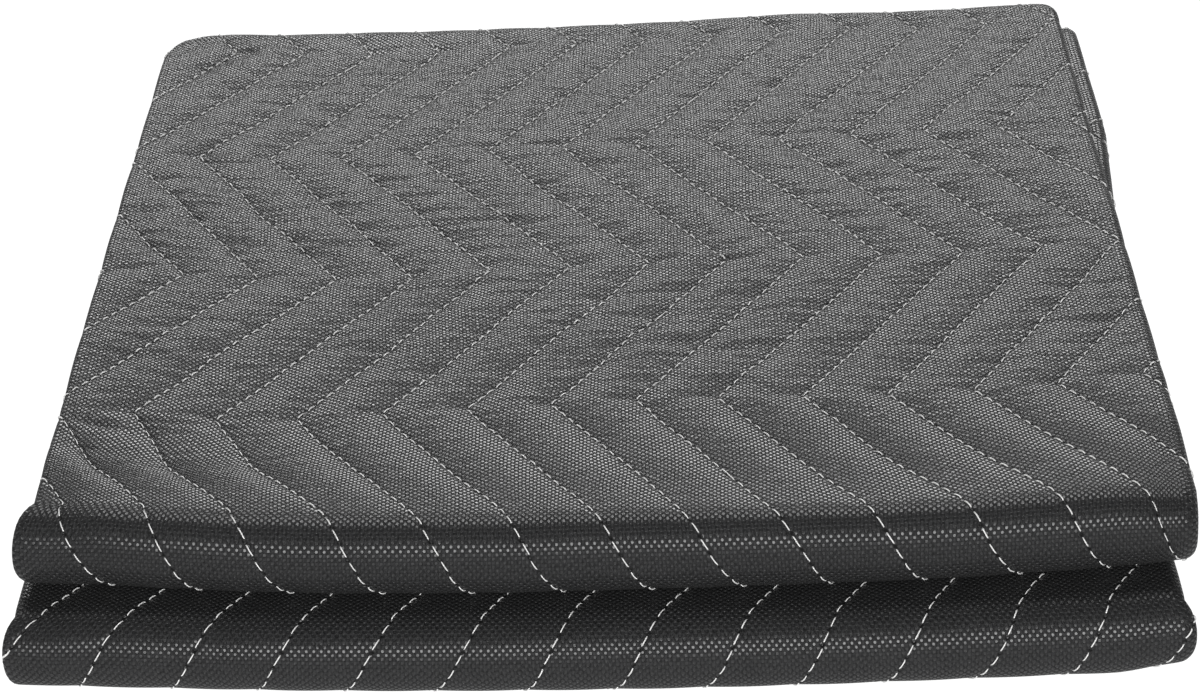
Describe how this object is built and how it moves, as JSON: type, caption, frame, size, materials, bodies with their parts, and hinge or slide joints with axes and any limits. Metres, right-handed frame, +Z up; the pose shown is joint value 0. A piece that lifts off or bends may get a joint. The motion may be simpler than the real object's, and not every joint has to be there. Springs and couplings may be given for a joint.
{
  "type": "stack of moving blankets",
  "caption": "Quilted furniture moving blankets, folded flat and stacked with full-height round folds along the front, for padding and wrapping goods.",
  "frame": {"origin": "centre of the stack's footprint, on the surface it rests on", "axes": "+Z up, -Y towards the full-height round front folds, +X to the right when seen from the front"},
  "size_m": [0.525, 0.6308, 0.0746],
  "materials": {
    "blanket": "dark grey non-woven cover with a small bonded diamond pattern, quilted in chevrons",
    "thread": "pale polyester sewing thread"
  },
  "bodies": {
    "root": {"blanket_bottom": "blanket", "blanket_top": "blanket"}
  },
  "joints": []
}
